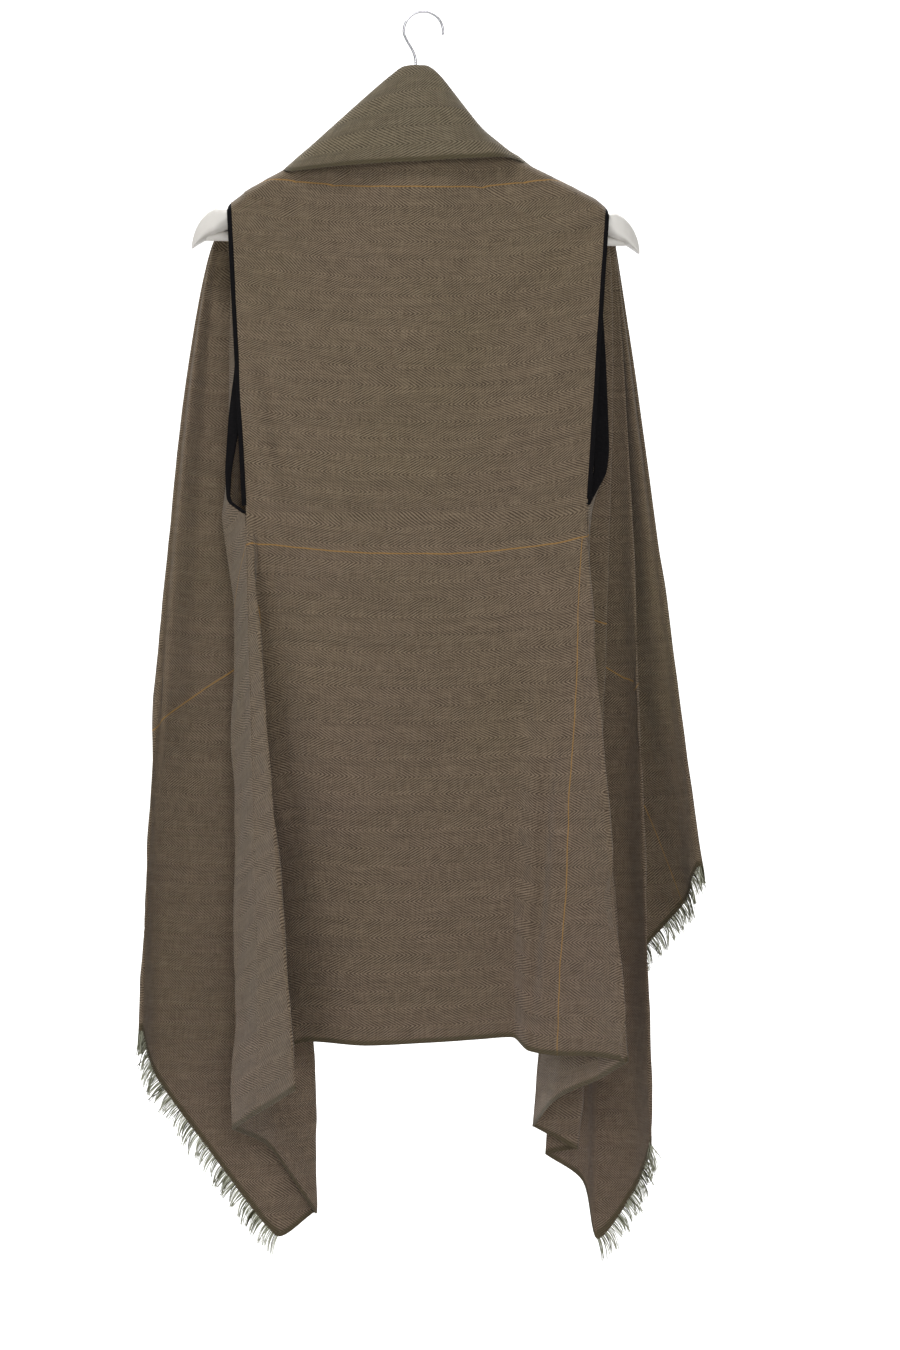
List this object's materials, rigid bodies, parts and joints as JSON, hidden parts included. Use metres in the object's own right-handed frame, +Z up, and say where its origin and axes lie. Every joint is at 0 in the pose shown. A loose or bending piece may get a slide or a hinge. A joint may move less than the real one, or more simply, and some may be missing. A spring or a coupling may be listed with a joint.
{
  "type": "cape on a hanger",
  "caption": "Woven shawl-cape with a rolled collar, bound armhole slits and fringed ends, hung on a contoured wooden hanger with a trouser bar and a wire hook",
  "frame": {"origin": "The inner crown of the hanger's hook, where the peg or rail that it hangs from bears", "axes": "+Z is up, the garment's back faces -Y, its front faces +Y, and +X is to the right of someone who looks at the back"},
  "size_m": [0.5421, 0.2665, 1.2016],
  "materials": {
    "cloth": "herringbone wool twill, brown and grey-beige yarns",
    "cloth_inner_face": "the same wool twill, a little more olive",
    "yarn": "loose grey-green woollen yarn",
    "tape": "black woven binding tape",
    "painted_wood": "wood with satin warm white paint",
    "chrome_wire": "polished chromed steel wire"
  },
  "bodies": {
    "root": {"back": "cloth", "front_left": "cloth", "front_right": "cloth", "collar": "cloth_inner_face", "fringe_left": "yarn", "fringe_right": "yarn", "binding_left_back": "tape", "binding_left_front": "tape", "binding_right_back": "tape", "binding_right_front": "tape", "hanger_arms": "painted_wood", "trouser_bar": "painted_wood", "hook": "chrome_wire"}
  },
  "joints": []
}
